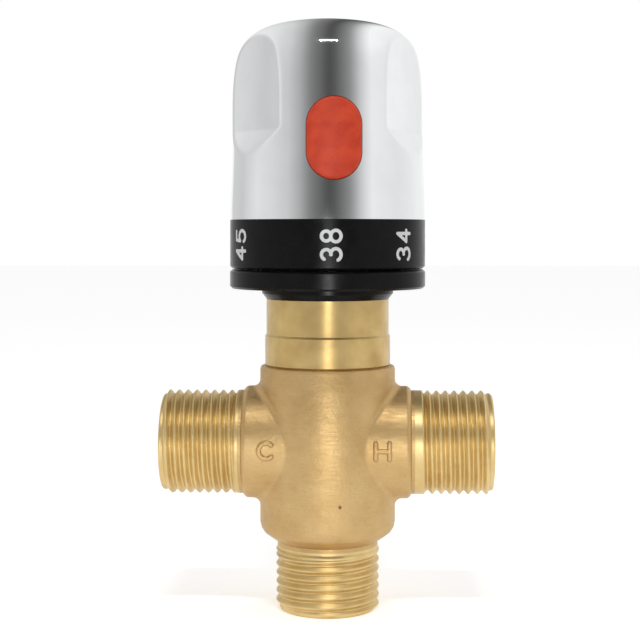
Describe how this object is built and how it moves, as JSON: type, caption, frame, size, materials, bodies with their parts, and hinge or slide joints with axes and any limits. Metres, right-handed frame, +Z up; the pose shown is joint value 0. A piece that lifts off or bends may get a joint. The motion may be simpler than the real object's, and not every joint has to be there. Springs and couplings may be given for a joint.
{
  "type": "thermostatic mixing valve",
  "caption": "Compact brass tee valve that blends hot and cold water to a set temperature, with a chromed handle, numbered black ring and red release button.",
  "frame": {"origin": "centre of the mixed outlet's end face, on the cartridge axis", "axes": "+Z up along the cartridge axis from the outlet to the handle, +X towards the hot inlet, -X towards the cold inlet, -Y the front; the button and the number 38 stand a few degrees to the right of it"},
  "size_m": [0.0668, 0.0398, 0.1196],
  "materials": {
    "forged_brass": "forged and tumbled, satin",
    "turned_brass": "turned, satin",
    "black_plastic": "moulded, semi-gloss",
    "chromed_plastic": "bright chrome plating on ABS",
    "red_plastic": "moulded, matt",
    "white_plastic": "moulded, matt",
    "rubber": "moulded, matt",
    "stainless_steel": "drawn or pressed, satin",
    "copper": "drawn copper, satin"
  },
  "bodies": {
    "valve": {"valve_body": "forged_brass", "cartridge_nut": "turned_brass", "cartridge_nut_oring": "rubber", "stop_collar": "black_plastic", "stop_ring": "black_plastic", "cartridge_sleeve": "turned_brass", "sleeve_oring_lower": "rubber", "sleeve_oring_middle": "rubber", "sleeve_oring_upper": "rubber", "spring_spider": "turned_brass", "hot_seat": "turned_brass", "cold_seat": "turned_brass", "return_spring": "stainless_steel", "thrust_washer": "white_plastic", "check_body_hot": "white_plastic", "check_body_cold": "white_plastic", "check_spring_hot": "stainless_steel", "check_spring_cold": "stainless_steel", "check_oring_hot": "rubber", "check_oring_cold": "rubber", "strainer_hot": "stainless_steel", "strainer_cold": "stainless_steel", "strainer_clip_hot": "stainless_steel", "strainer_clip_cold": "stainless_steel"},
    "handle": {"spindle": "turned_brass", "spindle_oring_lower": "rubber", "spindle_oring_upper": "rubber", "spindle_clip": "stainless_steel", "scale_ring": "black_plastic", "handle_cap": "chromed_plastic", "handle_screw": "stainless_steel", "screw_washer": "stainless_steel", "button_spring": "stainless_steel"},
    "button": {"red_button": "red_plastic"},
    "regulator": {"regulating_nut": "turned_brass", "overload_plunger": "turned_brass", "overload_clip": "stainless_steel", "overload_spring": "stainless_steel", "element_pin": "stainless_steel"},
    "shuttle": {"shuttle": "turned_brass", "shuttle_oring": "rubber", "wax_element": "copper"},
    "poppet_hot": {"check_poppet_hot": "white_plastic"},
    "poppet_cold": {"check_poppet_cold": "white_plastic"}
  },
  "joints": [
    {"name": "handle_turn", "type": "hinge", "parent": "valve", "child": "handle", "pos_m": [0, 0, 0.09], "axis": [0, 0, 1], "range_deg": [-150, 105]},
    {"name": "button_press", "type": "slide", "parent": "handle", "child": "button", "axis": [-0.1011, 0.9949, 0], "range_m": [0, 0.002], "stiffness_N_per_m": 900, "springref_m": -0.002, "deforming": ["button_spring"]},
    {"name": "regulator_travel", "type": "slide", "parent": "handle", "child": "regulator", "axis": [0, 0, 1], "range_m": [-0.00064, 0.00045], "deforming": ["return_spring"]},
    {"name": "element_stroke", "type": "slide", "parent": "regulator", "child": "shuttle", "axis": [0, 0, 1], "range_m": [-0.0006, 0.0002], "stiffness_N_per_m": 20000, "deforming": ["return_spring"]},
    {"name": "check_valve_hot", "type": "slide", "parent": "valve", "child": "poppet_hot", "axis": [-1, 0, 0], "range_m": [0, 0.0018], "stiffness_N_per_m": 200, "springref_m": -0.002, "deforming": ["check_spring_hot"]},
    {"name": "check_valve_cold", "type": "slide", "parent": "valve", "child": "poppet_cold", "axis": [1, 0, 0], "range_m": [0, 0.0018], "stiffness_N_per_m": 200, "springref_m": -0.002, "deforming": ["check_spring_cold"]}
  ],
  "couplings": [
    {"joint": "regulator_travel", "follows": "handle_turn", "m_per_rad": 0.00023873}
  ]
}
